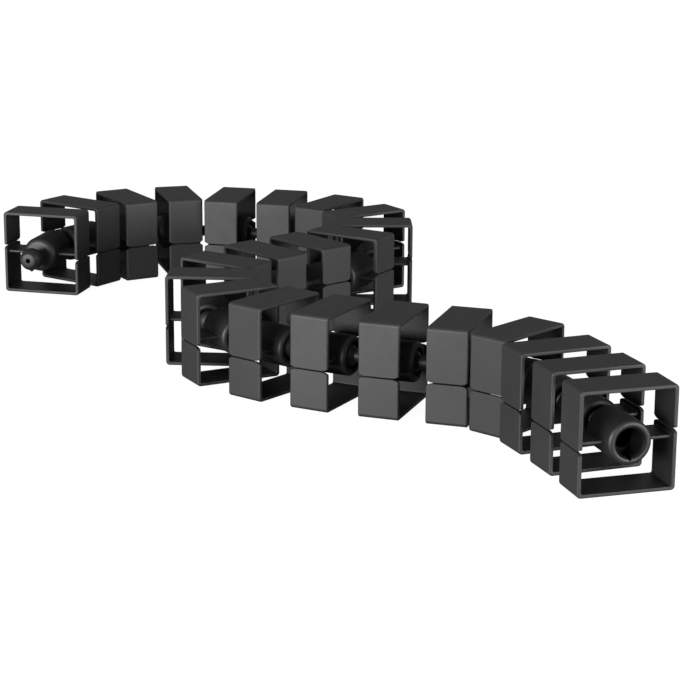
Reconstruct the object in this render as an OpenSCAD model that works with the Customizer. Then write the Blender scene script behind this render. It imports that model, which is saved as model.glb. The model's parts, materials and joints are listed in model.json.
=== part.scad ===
// Flexible cable duct: a chain of identical box-shaped links on ball joints, laid out in an S.
// Each link is one moulding with an upper and a lower cable chamber.

/* [Frame] */
// Outer width of the frame
frame_w = 60; // [54:1:75]
// Outer height of the frame
frame_h = 62.5; // [54:0.5:80]
// Length of the frame along the duct
frame_d = 27; // [22:0.5:32]
// Thickness of the frame's walls
wall_t = 2.4; // [1.8:0.1:2.8]
// Radius of the four long outer edges
edge_r = 2.5; // [1.5:0.25:6]
// Radius of the four long inner corners
inner_r = 1.1; // [0.5:0.1:3]
// Radius of the outer edges at both open ends
end_r = 1; // [0.4:0.1:1.6]

/* [Arms] */
// Thickness of the two arms that carry the spine
arm_t = 2.2; // [1.6:0.1:3]
// Distance of the arms from both open ends of the frame
arm_setback = 3; // [2:0.5:6]
// Radius of the arms' long edges
arm_edge_r = 0.7; // [0.3:0.1:0.8]

/* [Cable slits] */
// Height of a slit in the middle of its wall
slit_h = 0.8; // [0.5:0.1:2]
// Distance of a slit from the mid height of the frame
slit_offset = 4.4; // [3.8:0.1:8]
// Length of the flare at both ends of a slit
flare_l = 4.5; // [3:0.25:8]
// Rise of the flare above and below the slit
flare_h = 1.6; // [0.8:0.1:2]

/* [Ball joint] */
// Diameter of the ball
ball_d = 17; // [14:0.5:19]
// Clearance between the ball and its socket
joint_gap = 0.3; // [0.2:0.05:0.5]
// Radius of the rounded lip of the socket
lip_r = 2.5; // [1.6:0.1:2.8]
// Distance from the ball's centre to the middle of the lip
lip_reach = 3.6; // [3:0.1:4.2]
// Distance from the frame's open end in to the ball's centre
socket_inset = 3; // [1:0.25:4]
// Largest bend of one joint, in degrees
bend_limit = 33; // [33:1:38]
// Gap left between two frames at the largest bend
bend_gap = 0.3; // [0.2:0.05:2]
// Radius of the tube's shoulder at the ball end
shoulder_r = 4.5; // [2:0.25:6]
// Length of the blunt cone between the tube's shoulder and the neck
cone_l = 0.5; // [0:0.25:4]
// Distance from the ball's centre to the flat on its tip
tip_flat = 7; // [6:0.25:8]
// Diameter of the hollow that runs on from the socket into the tube
core_d = 12; // [8:0.5:15]
// Diameter of the hole in the ball's tip
tip_hole_d = 3.6; // [2:0.2:6]
// Depth of the hole in the ball's tip
tip_hole_l = 9; // [4:0.5:16]

/* [Guide key] */
// Full angle of the V groove in the socket and of the key on the ball, in degrees
key_angle = 76; // [70:1:100]
// Distance from the ball's centre to the root of the V groove
groove_r = 10.8; // [10:0.1:11.5]
// Radius of the key's blunt tip
key_tip_r = 0.5; // [0.2:0.1:0.8]

/* [Hidden] */
$fn = 64;

// Bend at each joint of the S, in degrees, from the open socket end to the free ball end
bends = [3, 2, 26, 24, -2, -8, -11, -23, -31, -31, -13, -1, 17, 32, 32, 25, 19, 1, 28, 14, 25, 21];
start_heading = 107;
link_count = len(bends) + 1;

plastic = [0.13, 0.13, 0.14];

// Socket and lip: the lip's round is tangent to the socket's sphere
ball_r = ball_d / 2;
socket_r = ball_r + joint_gap;
lip_orbit = socket_r + lip_r;
lip_c = sqrt(lip_orbit * lip_orbit - lip_reach * lip_reach);
tube_r = lip_c + lip_r;

// At the largest bend the neck just clears the lip, and so do the frames' edges
frame_front = -socket_inset;
frame_back = frame_d - socket_inset;
pitch = frame_back + socket_inset * cos(bend_limit) + frame_w / 2 * sin(bend_limit) + bend_gap;
neck_r = lip_c * cos(bend_limit) - lip_reach * sin(bend_limit) - lip_r - joint_gap;
neck_start = pitch - lip_orbit - lip_r - joint_gap;
tube_end = neck_start - cone_l;

// The key is a cone in the groove, clear of its walls all round
key_half = key_angle / 2;
key_apex = groove_r - joint_gap / sin(key_half);
key_base = ball_r / 2;
groove_back = groove_r * sin(bend_limit) + joint_gap;

// The flare's arc is tangent to the slit's edge
flare_r = (flare_l * flare_l + flare_h * flare_h) / (2 * flare_h);

function heading(i) = i == 0 ? start_heading : heading(i - 1) + bends[i - 1];

function along(i) = [cos(heading(i)), sin(heading(i))];

function across(i) = [-sin(heading(i)), cos(heading(i))];

function socket_at(i) = i == 0 ? [0, 0] : socket_at(i - 1) + pitch * along(i - 1);

// Centres of the rounded corners of every frame, seen from above
corners = [
    for (i = [0 : link_count - 1], u = [frame_front + end_r, frame_back - end_r], side = [-1, 1])
        socket_at(i) + u * along(i) + side * (frame_w / 2 - end_r) * across(i)
];
corner_x = [for (c = corners) c[0]];
corner_y = [for (c = corners) c[1]];
centre = [(min(corner_x) + max(corner_x)) / 2, (min(corner_y) + max(corner_y)) / 2];

module rounded_rectangle(w, h, r) {
    square([w - 2 * r, h], center = true);
    square([w, h - 2 * r], center = true);
    for (x = [-1, 1], y = [-1, 1]) translate([x * (w / 2 - r), y * (h / 2 - r)]) circle(r);
}

// A prism along the duct, from the frame's front end
module along_duct(length) {
    translate([frame_front, 0, 0]) rotate([90, 0, 90]) linear_extrude(length) children();
}

// The frame's block: three prisms meet, so that long edges and end edges are all round
module frame_block() {
    middle = (frame_front + frame_back) / 2;
    intersection() {
        along_duct(frame_d) rounded_rectangle(frame_w, frame_h, edge_r);
        translate([middle, 0, -frame_h / 2])
            linear_extrude(frame_h) rounded_rectangle(frame_d, frame_w, end_r);
        translate([middle, frame_w / 2, 0])
            rotate([90, 0, 0]) linear_extrude(frame_w) rounded_rectangle(frame_d, frame_h, end_r);
    }
}

module slit_outline() {
    square([2 * frame_d, slit_h], center = true);
    for (end = [-1, 1]) {
        difference() {
            translate([end * frame_d / 2, 0])
                square([2 * flare_l, slit_h + 2 * flare_h], center = true);
            for (side = [-1, 1])
                translate([end * (frame_d / 2 - flare_l), side * (slit_h / 2 + flare_r)]) circle(flare_r);
        }
    }
}

// One slit, through the wall on the left of the duct and below the arm
module slit() {
    cut = 3 * wall_t;
    translate([(frame_front + frame_back) / 2, (frame_w - wall_t) / 2, -slit_offset])
        rotate([90, 0, 0]) linear_extrude(cut, center = true) slit_outline();
}

module frame() {
    inner_w = frame_w - 2 * wall_t;
    inner_h = frame_h - 2 * wall_t;
    difference() {
        frame_block();
        translate([-frame_d / 2, 0, 0])
            along_duct(2 * frame_d) rounded_rectangle(inner_w, inner_h, inner_r);
        for (turn = [0, 180]) rotate([turn, 0, 0]) slit();
    }
}

module arms() {
    root = (tube_r + socket_r) / 2;
    tip = (frame_w - wall_t) / 2;
    for (turn = [0, 180])
        rotate([turn, 0, 0])
            translate([(frame_front + frame_back) / 2, tip, 0])
                rotate([90, 0, 0])
                    linear_extrude(tip - root)
                        rounded_rectangle(frame_d - 2 * arm_setback, arm_t, arm_edge_r);
}

// Half outline of the spine: radius to the right, distance along the duct upwards
module spine_outline() {
    difference() {
        union() {
            translate([lip_c, -lip_reach]) circle(lip_r);
            polygon([
                [0, 0], [lip_c, -lip_reach], [tube_r, -lip_reach], [tube_r, tube_end - shoulder_r],
                [tube_r - shoulder_r, tube_end], [neck_r, neck_start], [neck_r, pitch], [0, pitch]
            ]);
            translate([tube_r - shoulder_r, tube_end - shoulder_r]) circle(shoulder_r);
            intersection() {
                translate([0, pitch]) circle(ball_r);
                translate([0, pitch - ball_r]) square([ball_r, ball_r + tip_flat]);
            }
        }
        circle(socket_r);
        square([core_d / 2, tube_end - wall_t]);
        translate([0, pitch + tip_flat - tip_hole_l]) square([tip_hole_d / 2, tip_hole_l]);
    }
}

module groove() {
    depth = groove_r - key_base;
    half_width = depth * tan(key_half);
    front = lip_reach + 2 * lip_r;
    translate([-front, 0, 0])
        rotate([90, 0, 90])
            linear_extrude(front + groove_back)
                polygon([[0, -groove_r], [half_width, -key_base], [-half_width, -key_base]]);
}

module key() {
    length = key_apex - key_tip_r / tan(key_half) - key_base;
    translate([pitch, 0, -key_base])
        rotate([180, 0, 0])
            cylinder(h = length, r1 = (key_apex - key_base) * tan(key_half), r2 = key_tip_r);
}

module spine() {
    difference() {
        rotate([0, 90, 0]) rotate_extrude() spine_outline();
        groove();
    }
    key();
}

// One moulded link, with the centre of its socket at the origin
module link() {
    frame();
    arms();
    spine();
}

module placed_link(i) {
    place = socket_at(i) - centre;
    color(plastic) translate([place[0], place[1], frame_h / 2]) rotate([0, 0, heading(i)]) link();
}

for (i = [0 : link_count - 1]) {
    placed_link(i);
}
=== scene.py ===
import json
from math import acos, asin, atan2, cos, pi, radians, sin, sqrt, tan

import bmesh
import bpy
from mathutils import Matrix, Vector


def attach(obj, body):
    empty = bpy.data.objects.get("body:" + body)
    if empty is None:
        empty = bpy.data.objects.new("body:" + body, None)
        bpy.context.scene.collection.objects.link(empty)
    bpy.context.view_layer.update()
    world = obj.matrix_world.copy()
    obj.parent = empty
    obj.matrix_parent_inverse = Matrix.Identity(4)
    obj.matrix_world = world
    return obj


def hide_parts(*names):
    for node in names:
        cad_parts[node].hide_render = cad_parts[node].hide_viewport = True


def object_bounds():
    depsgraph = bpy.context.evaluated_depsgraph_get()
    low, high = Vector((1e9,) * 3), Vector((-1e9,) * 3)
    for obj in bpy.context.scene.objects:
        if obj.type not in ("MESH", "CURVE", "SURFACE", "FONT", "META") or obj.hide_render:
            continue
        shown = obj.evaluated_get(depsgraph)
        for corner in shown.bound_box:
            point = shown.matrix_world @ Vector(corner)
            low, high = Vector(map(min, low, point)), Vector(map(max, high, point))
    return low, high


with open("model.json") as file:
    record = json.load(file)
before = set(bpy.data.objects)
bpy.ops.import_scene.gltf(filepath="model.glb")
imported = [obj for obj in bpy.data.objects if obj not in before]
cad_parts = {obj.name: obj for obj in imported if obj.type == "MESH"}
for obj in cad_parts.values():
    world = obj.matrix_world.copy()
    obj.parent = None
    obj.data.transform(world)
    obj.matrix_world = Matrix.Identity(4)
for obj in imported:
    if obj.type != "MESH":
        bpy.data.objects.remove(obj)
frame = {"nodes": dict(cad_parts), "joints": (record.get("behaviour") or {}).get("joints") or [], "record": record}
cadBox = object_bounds()
mm = 0.001
print("frame loaded:", len(frame["nodes"]), "links")


# places: every link runs from one ball's centre to the next

def linkPlaces():
    ends = {m["name"]: m["pos_m"] for m in frame["record"]["mounts"]}
    centres = [ends["socket_end"], *[j["pos_m"] for j in frame["joints"]], ends["ball_end"]]
    places = []
    for near, far in zip(centres, centres[1:]):
        heading = atan2(far[1] - near[1], far[0] - near[0])
        places.append(Matrix.Translation(near) @ Matrix.Rotation(heading, 4, "Z"))
    pitch = (Vector(centres[1]) - Vector(centres[0])).length / mm
    return places, pitch


places, pitch = linkPlaces()


# mesh helpers: pieces are drawn in millimetres, x along the duct from the socket's centre

tiny = 0.001  # points closer than this are one


def same(a, b):
    return abs(a - b) < tiny


def toObject(bm, name):
    bmesh.ops.remove_doubles(bm, verts=bm.verts, dist=tiny)
    bmesh.ops.recalc_face_normals(bm, faces=bm.faces)
    mesh = bpy.data.meshes.new(name)
    bm.to_mesh(mesh)
    bm.free()
    piece = bpy.data.objects.new(name, mesh)
    bpy.context.scene.collection.objects.link(piece)
    return piece


def roundCorners(bm, corners, radius, steps):
    bmesh.ops.bevel(
        bm, geom=corners, offset=radius, segments=steps, profile=0.5, affect="VERTICES", material=-1
    )


def roundEdges(bm, edges, radius, steps):
    bmesh.ops.bevel(
        bm, geom=edges, offset=radius, segments=steps, profile=0.5, affect="EDGES", material=-1
    )


def extrudeAlong(bm, steps):
    face = bm.faces[:][0]
    for count, step in enumerate(steps):
        made = bmesh.ops.extrude_face_region(bm, geom=[face])["geom"]
        if count:  # only the first face stays, as the near end
            bmesh.ops.delete(bm, geom=[face], context="FACES_ONLY")
        face = next(g for g in made if isinstance(g, bmesh.types.BMFace))
        bmesh.ops.translate(bm, verts=face.verts, vec=(step, 0, 0))


def combine(target, tool, operation):
    cut = target.modifiers.new(operation, "BOOLEAN")
    cut.operation = operation
    cut.object = tool
    cut.solver = "EXACT"
    bakeModifiers(target)
    bpy.data.objects.remove(tool)


def bakeModifiers(target):
    graph = bpy.context.evaluated_depsgraph_get()
    mesh = bpy.data.meshes.new_from_object(target.evaluated_get(graph))
    target.modifiers.clear()
    target.data = mesh


# the square frame: two U-shaped halves, parted by the slits

shell = {
    "width": 60,
    "height": 62.5,
    "depth": 27,
    "front": -3,  # the frame's open end, from the socket's centre
    "wall": 2.4,
    "cornerRound": 2.5,
    "cornerSteps": 6,
    "innerRound": 1.1,
    "innerSteps": 4,
    "rimRound": 0.9,  # outer edges of the open ends
    "rimSteps": 3,
    "innerRimShare": 0.45,  # inner edges are less round than outer ones
}
slit = {
    "height": 0.8,
    "offset": 4.4,  # from mid height
    "flareLength": 4.5,
    "flareRise": 1.6,
    "flareSteps": 4,  # each longer than the rim's round
    "edgeShare": 0.35,  # of the rim's round
}


def flareAt(x):  # how far a slit's edge stands back at this place along the frame
    fromEnd = min(x - shell["front"], shell["front"] + shell["depth"] - x)
    into = max(slit["flareLength"] - fromEnd, 0)
    radius = (slit["flareLength"] ** 2 + slit["flareRise"] ** 2) / (2 * slit["flareRise"])
    return radius - sqrt(radius**2 - into**2)


def makeShellHalf(name):
    side, top = shell["width"] / 2, shell["height"] / 2
    inside, under = side - shell["wall"], top - shell["wall"]
    leftEnd = slit["height"] / 2 - slit["offset"]
    rightEnd = slit["height"] / 2 + slit["offset"]
    bm = bmesh.new()
    outline = [
        (side, leftEnd), (side, top), (-side, top), (-side, rightEnd),
        (-inside, rightEnd), (-inside, under), (inside, under), (inside, leftEnd),
    ]
    corners = [bm.verts.new((shell["front"], y, z)) for y, z in outline]
    bm.faces.new(corners)
    roundCorners(bm, corners[1:3], shell["cornerRound"], shell["cornerSteps"])
    roundCorners(bm, corners[5:7], shell["innerRound"], shell["innerSteps"])
    flare = [slit["flareLength"] / slit["flareSteps"]] * slit["flareSteps"]
    extrudeAlong(bm, [*flare, shell["depth"] - 2 * slit["flareLength"], *flare])
    slitVerts = {v for v in bm.verts if same(v.co.z, leftEnd if v.co.y > 0 else rightEnd)}
    for v in slitVerts:
        v.co.z += flareAt(v.co.x)
    ends = (shell["front"], shell["front"] + shell["depth"])
    weight = bm.edges.layers.float.new("bevel_weight_edge")
    for e in bm.edges:
        middle = (e.verts[0].co + e.verts[1].co) / 2
        onOutside = max(abs(middle.y) - inside, abs(middle.z) - under) > shell["wall"] / 2
        if any(all(same(v.co.x, x) for v in e.verts) for x in ends):
            e[weight] = 1 if onOutside else shell["innerRimShare"]
        if slitVerts.issuperset(e.verts):
            alongSlit = same(e.verts[0].co.y, e.verts[1].co.y)
            e[weight] = slit["edgeShare"] if alongSlit or e[weight] else 0
    half = toObject(bm, name)
    rounding = half.modifiers.new("rounding", "BEVEL")
    rounding.limit_method = "WEIGHT"
    rounding.width, rounding.segments, rounding.profile = shell["rimRound"], shell["rimSteps"], 0.5
    bakeModifiers(half)
    return half


# the arms at mid height, filleted into wall and tube

arm = {
    "thickness": 2.2,
    "setback": 3,  # from both open ends
    "fillet": 1.5,
    "filletSteps": 4,
    "edgeRound": 0.8,
    "edgeSteps": 4,
    "sink": 1.2,  # how far it runs on into the wall and the tube
    "bed": 0.05,  # how far its fillets end below both surfaces
    "merge": 0.01,  # the fillets' ends fall on corners of the outline
}


def makeArm():
    half = arm["thickness"] / 2
    foot = half + arm["fillet"]
    root = sqrt(spine["tubeRadius"] ** 2 - foot**2) - arm["bed"]
    tip = shell["width"] / 2 - shell["wall"] + arm["bed"]
    upper = [
        (root - arm["sink"], foot), (root, foot), (root, half),
        (tip, half), (tip, foot), (tip + arm["sink"], foot),
    ]
    front, length = shell["front"] + arm["setback"], shell["depth"] - 2 * arm["setback"]
    bm = bmesh.new()
    outline = upper + [(y, -z) for y, z in reversed(upper)]
    corners = [bm.verts.new((front, y, z)) for y, z in outline]
    bm.faces.new(corners)
    roundCorners(bm, [*corners[2:4], *corners[8:10]], arm["fillet"], arm["filletSteps"])
    bmesh.ops.remove_doubles(bm, verts=bm.verts, dist=arm["merge"])
    turns = [pi / 2 * step / arm["edgeSteps"] for step in range(arm["edgeSteps"] + 1)]
    nose = [arm["edgeRound"] * (cos(a) - cos(b)) for a, b in zip(turns, turns[1:])]
    extrudeAlong(bm, [*nose, length - 2 * arm["edgeRound"], *reversed(nose)])
    for v in bm.verts:  # both long edges are round: the section thins towards its ends
        into = max(arm["edgeRound"] - min(v.co.x - front, front + length - v.co.x), 0)
        thinner = arm["edgeRound"] - sqrt(arm["edgeRound"] ** 2 - into**2)
        v.co.z -= thinner if v.co.z > 0 else -thinner
    return bm


# the spine: socket, tube, cone, neck and ball in one revolve

spine = {
    "ballRadius": 8.5,
    "ballSteps": 18,
    "jointGap": 0.3,
    "socketSteps": 16,
    "lipRadius": 2.5,
    "lipSteps": 12,
    "lipReach": 3.6,  # from the socket's centre to the middle of the lip
    "bendLimit": 33,
    "coneLength": 0.5,
    "shoulder": 4.5,
    "shoulderSteps": 8,
    "coreRadius": 6,
    "coreWall": 2.4,
    "tipFlat": 7,  # from the ball's centre
    "tipHoleRadius": 1.8,
    "tipHoleLength": 9,
    "turnSteps": 72,
}
spine["socketRadius"] = spine["ballRadius"] + spine["jointGap"]
spine["lipOrbit"] = spine["socketRadius"] + spine["lipRadius"]
spine["lipCentre"] = sqrt(spine["lipOrbit"] ** 2 - spine["lipReach"] ** 2)
spine["tubeRadius"] = spine["lipCentre"] + spine["lipRadius"]
spine["neckRadius"] = (
    spine["lipCentre"] * cos(radians(spine["bendLimit"]))
    - spine["lipReach"] * sin(radians(spine["bendLimit"]))
    - spine["lipRadius"] - spine["jointGap"]
)
spine["neckStart"] = pitch - spine["lipOrbit"] - spine["lipRadius"] - spine["jointGap"]
spine["tubeEnd"] = spine["neckStart"] - spine["coneLength"]
spine["coreEnd"] = spine["tubeEnd"] - spine["coreWall"]


def lineTo(bm, vert, x, z):
    end = bm.verts.new((x, 0, z))
    bm.edges.new((vert, end))
    return end


def arcTo(bm, vert, x, z, angle, steps):  # turns about (x, z), positive from +z to +x
    made = bmesh.ops.spin(
        bm, geom=[vert], cent=(x, 0, z), axis=(0, 1, 0), angle=angle, steps=steps
    )
    return next(g for g in made["geom_last"] if isinstance(g, bmesh.types.BMVert))


def makeSpine():  # its outline runs from the core's end out over the lip and on to the ball's hole
    ball, core = spine["ballRadius"], spine["coreRadius"]
    neck, tip = spine["neckRadius"], spine["tipFlat"]
    coreAngle = asin(core / spine["socketRadius"])
    lipAngle = acos(-spine["lipReach"] / spine["lipOrbit"])
    neckAngle = asin(neck / ball)
    tipAngle = acos(tip / ball)
    shoulderX = spine["tubeEnd"] - spine["shoulder"]
    shoulderZ = spine["tubeRadius"] - spine["shoulder"]
    bm = bmesh.new()
    v = bm.verts.new((spine["coreEnd"], 0, 0))
    v = lineTo(bm, v, spine["coreEnd"], core)
    v = lineTo(bm, v, spine["socketRadius"] * cos(coreAngle), core)
    v = arcTo(bm, v, 0, 0, coreAngle - lipAngle, spine["socketSteps"])
    v = arcTo(bm, v, -spine["lipReach"], spine["lipCentre"], lipAngle + pi / 2, spine["lipSteps"])
    v = lineTo(bm, v, shoulderX, spine["tubeRadius"])
    v = arcTo(bm, v, shoulderX, shoulderZ, pi / 2, spine["shoulderSteps"])
    v = lineTo(bm, v, spine["neckStart"], neck)
    v = lineTo(bm, v, pitch - ball * cos(neckAngle), neck)
    v = arcTo(bm, v, pitch, 0, pi - neckAngle - tipAngle, spine["ballSteps"])
    v = lineTo(bm, v, pitch + tip, spine["tipHoleRadius"])
    v = lineTo(bm, v, pitch + tip - spine["tipHoleLength"], spine["tipHoleRadius"])
    lineTo(bm, v, pitch + tip - spine["tipHoleLength"], 0)
    bmesh.ops.spin(
        bm, geom=bm.verts[:] + bm.edges[:], cent=(0, 0, 0), axis=(1, 0, 0),
        angle=2 * pi, steps=spine["turnSteps"], use_merge=True,
    )
    halfStep = Matrix.Rotation(pi / spine["turnSteps"], 3, "X")  # no edge lies in the groove's plane
    bmesh.ops.rotate(bm, verts=bm.verts, cent=(0, 0, 0), matrix=halfStep)
    return bm


# the V groove in the socket's lip and the key under the ball

guide = {
    "angle": 76,
    "grooveRoot": 10.8,  # from the ball's centre
    "base": spine["ballRadius"] / 2,  # where groove and key start, inside the ball
    "keyTip": 0.5,
    "keySides": 32,
    "keyRound": 0.3,
    "keyRoundSteps": 2,
}
guide["half"] = radians(guide["angle"] / 2)


def makeGroove():
    root, base = guide["grooveRoot"], guide["base"]
    side = (root - base) * tan(guide["half"])
    front = spine["lipReach"] + 2 * spine["lipRadius"]
    back = root * sin(radians(spine["bendLimit"])) + spine["jointGap"]
    bm = bmesh.new()
    outline = [(0, -root), (side, -base), (-side, -base)]
    bm.faces.new([bm.verts.new((-front, y, z)) for y, z in outline])
    extrudeAlong(bm, [front + back])
    return bm


def makeKey():
    base, slope = guide["base"], tan(guide["half"])
    apex = guide["grooveRoot"] - spine["jointGap"] / sin(guide["half"])
    tip = apex - guide["keyTip"] / slope
    middle = Matrix.Translation((pitch, 0, -(tip + base) / 2))
    halfStep = Matrix.Rotation(pi / guide["keySides"], 4, "Z")
    bm = bmesh.new()
    bmesh.ops.create_cone(
        bm, cap_ends=True, segments=guide["keySides"], radius1=guide["keyTip"],
        radius2=(apex - base) * slope, depth=tip - base, matrix=middle @ halfStep,
    )
    low = [e for e in bm.edges if all(same(v.co.z, -tip) for v in e.verts)]
    roundEdges(bm, low, guide["keyRound"], guide["keyRoundSteps"])
    return bm


# one link: its pieces joined into one mesh

joining = {
    "sliver": 0.002,  # edges this short are left where pieces met
    "sharpAngle": 40,
}


def makeLink():
    link = makeShellHalf("link")
    lower = makeShellHalf("lower")
    rightArm = toObject(makeArm(), "rightArm")
    for turned in (lower, rightArm):
        turned.data.transform(Matrix.Rotation(pi, 4, "X"))
    core = toObject(makeSpine(), "spine")
    combine(core, toObject(makeGroove(), "groove"), "DIFFERENCE")
    combine(core, toObject(makeKey(), "key"), "UNION")
    for tool in (toObject(makeArm(), "leftArm"), rightArm, core, lower):
        combine(link, tool, "UNION")
    cleanLink(link)
    smoothLink(link)
    return link


def cleanLink(link):
    bm = bmesh.new()
    bm.from_mesh(link.data)
    bmesh.ops.remove_doubles(bm, verts=bm.verts, dist=joining["sliver"])
    bmesh.ops.dissolve_degenerate(bm, edges=bm.edges, dist=joining["sliver"])
    bm.to_mesh(link.data)
    bm.free()


def smoothLink(link):
    link.data.shade_smooth()
    link.data.set_sharp_from_angle(angle=radians(joining["sharpAngle"]))
    even = link.modifiers.new("even", "WEIGHTED_NORMAL")
    even.keep_sharp = True
    bakeModifiers(link)


# black moulded plastic: slightly cloudy in tone, with an uneven satin and a fine grain; on the frame's inside and
# in the hollows its colour is painted darker, as painted shade

plastic = {
    "cloud": {"Scale": 24, "Detail": 3},
    "smudge": {"Scale": 140, "Detail": 4},
    "grain": {"Scale": 2400, "Detail": 2},
    "grainHeight": 0.03 * mm,
    "noiseRange": (0.3, 0.7),  # where most of a noise lies
}
finishes = {
    "grainedPlastic": {  # the frame's outside and its rims
        "deep": (0.015, 0.015, 0.0159, 1),
        "pale": (0.02, 0.02, 0.0212, 1),
        "smoothest": 0.55,
        "roughest": 0.6,
        "grain": 0.35,
        "specular": 0.45,
    },
    # a finer grain, which is real, and a darker colour, which is painted shade, for the frame's inside, the arms
    # and the spine
    "plainPlasticPaintedShade": {  # the frame's inside, the arms and the spine
        "deep": (0.008, 0.008, 0.0085, 1),
        "pale": (0.011, 0.011, 0.0117, 1),
        "smoothest": 0.5,
        "roughest": 0.54,
        "grain": 0.12,
        "specular": 0.45,
    },
    # painted shade: the socket's inside and the hole in the ball get a near-black colour where shade falls in the
    # hollow, and little gloss
    "hollowPaintedShade": {  # the socket's inside and the hole in the ball
        "deep": (0.004, 0.004, 0.0042, 1),
        "pale": (0.006, 0.006, 0.0064, 1),
        "smoothest": 0.6,
        "roughest": 0.64,
        "grain": 0.12,
        "specular": 0.08,
    },
}
# where the painted shade goes: faces deep in the wall, and faces that look into the hollows
finishAndShadeEdges = {
    "plainFrom": 0.75,  # share of the wall's thickness, from the outside in
    "looksIn": 0.4,  # how squarely a hollow's wall looks at the spine's axis
    "looksBack": 0.99,  # how squarely a hollow's end looks back along the spine
}


def addNode(tree, kind, inputs):
    made = tree.nodes.new(kind)
    for name, value in inputs.items():
        if isinstance(value, bpy.types.NodeSocket):
            tree.links.new(value, made.inputs[name])
        else:
            made.inputs[name].default_value = value
    return made


def addNoise(tree, place, pattern):
    return addNode(tree, "ShaderNodeTexNoise", {"Vector": place, **pattern}).outputs["Fac"]


def makePlastic(name, finish):
    material = bpy.data.materials.new(name)
    material.use_nodes = True
    tree = material.node_tree
    place = tree.nodes.new("ShaderNodeTexCoord").outputs["Object"]
    low, high = plastic["noiseRange"]
    tone = addNode(tree, "ShaderNodeValToRGB", {"Fac": addNoise(tree, place, plastic["cloud"])})
    first, last = tone.color_ramp.elements
    first.color, last.color = finish["deep"], finish["pale"]
    first.position, last.position = low, high
    satin = addNode(tree, "ShaderNodeMapRange", {
        "Value": addNoise(tree, place, plastic["smudge"]), "From Min": low, "From Max": high,
        "To Min": finish["smoothest"], "To Max": finish["roughest"],
    })
    bump = addNode(tree, "ShaderNodeBump", {
        "Height": addNoise(tree, place, plastic["grain"]),
        "Strength": finish["grain"], "Distance": plastic["grainHeight"],
    })
    shader = tree.nodes["Principled BSDF"]
    shader.inputs["Specular IOR Level"].default_value = finish["specular"]
    tree.links.new(tone.outputs["Color"], shader.inputs["Base Color"])
    tree.links.new(satin.outputs["Result"], shader.inputs["Roughness"])
    tree.links.new(bump.outputs["Normal"], shader.inputs["Normal"])
    return material


# picks the faces that get the painted shade of the hollows
def isHollow(face):  # it looks at the spine's axis, or ends the groove or the core
    away = Vector((0, face.center.y, face.center.z))
    looksIn = face.normal.dot(away) < -finishAndShadeEdges["looksIn"] * away.length
    endsHollow = face.normal.x < -finishAndShadeEdges["looksBack"] and face.center.x > 0
    return away.length < spine["tubeRadius"] and (looksIn or endsHollow)


def finishOf(face, corners):
    # hollows get the near-black colour of painted shade
    if isHollow(face):
        return "hollowPaintedShade"
    # faces deeper in the wall than plainFrom get the finer grain and the darker colour of painted shade
    side, top = shell["width"] / 2, shell["height"] / 2
    depth = min(min(side - abs(c.y), top - abs(c.z)) for c in corners)
    return "plainPlasticPaintedShade" if depth > finishAndShadeEdges["plainFrom"] * shell["wall"] else "grainedPlastic"


# gives each face its plastic; the darker inside and hollow colours are painted shade
def finishLink(link):
    for name, finish in finishes.items():
        link.data.materials.append(makePlastic(name, finish))
    order = list(finishes)
    for face in link.data.polygons:
        corners = [link.data.vertices[i].co for i in face.vertices]
        face.material_index = order.index(finishOf(face, corners))


# the duct: a copy of the link in every place

def placeLinks():
    master = makeLink()
    finishLink(master)
    for node, place in zip(sorted(frame["nodes"]), places):
        mesh = master.data.copy()
        mesh.transform(place @ Matrix.Scale(mm, 4))
        piece = bpy.data.objects.new("moulded_" + node, mesh)
        bpy.context.scene.collection.objects.link(piece)
        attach(piece, node)
        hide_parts(node)
    print("links placed:", len(places), "faces each:", len(master.data.polygons))
    bpy.data.objects.remove(master)


placeLinks()


# stage: a floor that looks white and keeps the shadow, plain surroundings, two low strip lamps

stage = {
    "floorSize": 16,
    "floorColour": (0.22, 0.22, 0.22, 1),
    "floorRoughness": 0.9,
    "floorLift": {"Is Camera Ray": 0.94, "Is Transmission Ray": 0.94, "Is Glossy Ray": 0.06},
    "surround": 0.27,
    "white": (1, 1, 1, 1),
}
lamps = {
    "key": {"azimuth": -41, "elevation": 6.5, "distance": 2.2, "width": 1.5, "height": 0.5, "power": 85},
    "fill": {"azimuth": 51, "elevation": 6.5, "distance": 2.2, "width": 1.5, "height": 0.5, "power": 55},
}


def seenLift(tree):  # emission for the eye, and for what reflections and glass show
    path = tree.nodes.new("ShaderNodeLightPath")
    seen = 0
    for ray, lift in stage["floorLift"].items():
        part = addNode(tree, "ShaderNodeMath", {0: path.outputs[ray], 1: lift})
        part.operation = "MULTIPLY"
        most = addNode(tree, "ShaderNodeMath", {0: seen, 1: part.outputs["Value"]})
        most.operation = "MAXIMUM"
        seen = most.outputs["Value"]
    return seen


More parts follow.
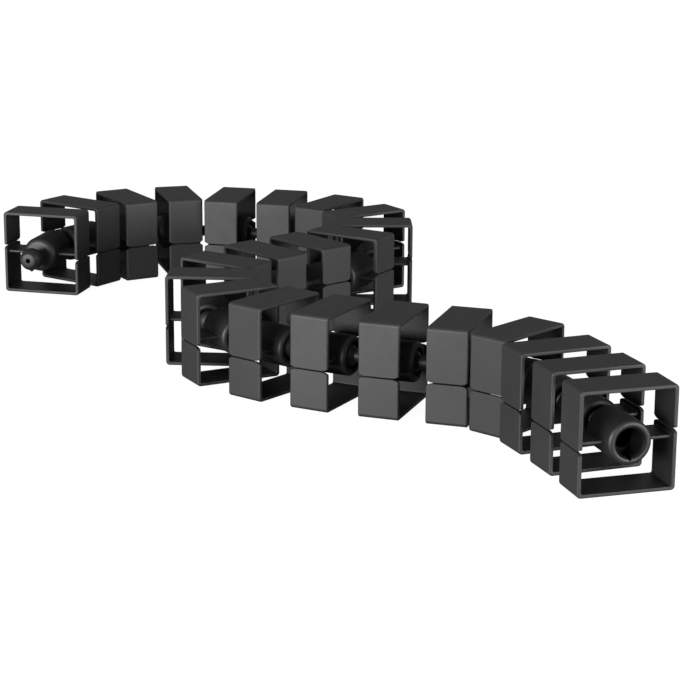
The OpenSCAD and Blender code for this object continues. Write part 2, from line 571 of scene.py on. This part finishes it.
def makeFloor():
    bm = bmesh.new()
    bmesh.ops.create_grid(bm, x_segments=1, y_segments=1, size=stage["floorSize"] / 2)
    mesh = bpy.data.meshes.new("floor")
    bm.to_mesh(mesh)
    bm.free()
    floor = bpy.data.objects.new("floor", mesh)
    bpy.context.scene.collection.objects.link(floor)
    material = bpy.data.materials.new("paleFloor")
    material.use_nodes = True
    tree = material.node_tree
    shader = tree.nodes["Principled BSDF"]
    shader.inputs["Base Color"].default_value = stage["floorColour"]
    shader.inputs["Roughness"].default_value = stage["floorRoughness"]
    shader.inputs["Specular IOR Level"].default_value = 0
    shader.inputs["Emission Color"].default_value = stage["white"]
    tree.links.new(seenLift(tree), shader.inputs["Emission Strength"])
    mesh.materials.append(material)


def makeSurround():
    world = bpy.data.worlds.new("surround")
    world.use_nodes = True
    bpy.context.scene.world = world
    background = world.node_tree.nodes["Background"]
    background.inputs["Color"].default_value = stage["white"]
    background.inputs["Strength"].default_value = stage["surround"]


def makeLamps():
    middle = (cadBox[0] + cadBox[1]) / 2
    for name, lamp in lamps.items():
        light = bpy.data.lights.new(name, "AREA")
        light.shape = "RECTANGLE"
        light.size, light.size_y = lamp["width"], lamp["height"]
        light.energy = lamp["power"]
        turn, rise = radians(lamp["azimuth"]), radians(lamp["elevation"])
        away = Vector((sin(turn) * cos(rise), -cos(turn) * cos(rise), sin(rise)))
        stand = bpy.data.objects.new(name, light)
        stand.location = middle + away * lamp["distance"]
        stand.rotation_euler = away.to_track_quat("Z", "Y").to_euler()
        bpy.context.scene.collection.objects.link(stand)


makeFloor()
makeSurround()
makeLamps()
print("stage made")


# camera, at the photograph's angle

camera = {
    "place": (0.03629, -1.44319, 0.39459),
    "lookDown": 14.86,
    "roll": 0.357,
    "lens": 114.39,
    "sensor": 36,
    "shift": -0.00357,
}


def makeCamera():
    data = bpy.data.cameras.new("camera")
    data.lens = camera["lens"]
    data.sensor_width = camera["sensor"]
    data.shift_x = camera["shift"]
    eye = bpy.data.objects.new("camera", data)
    eye.matrix_world = (
        Matrix.Translation(camera["place"])
        @ Matrix.Rotation(radians(90 - camera["lookDown"]), 4, "X")
        @ Matrix.Rotation(radians(camera["roll"]), 4, "Z")
    )
    bpy.context.scene.collection.objects.link(eye)
    bpy.context.scene.camera = eye


makeCamera()
bpy.context.scene.view_settings.view_transform = "Standard"
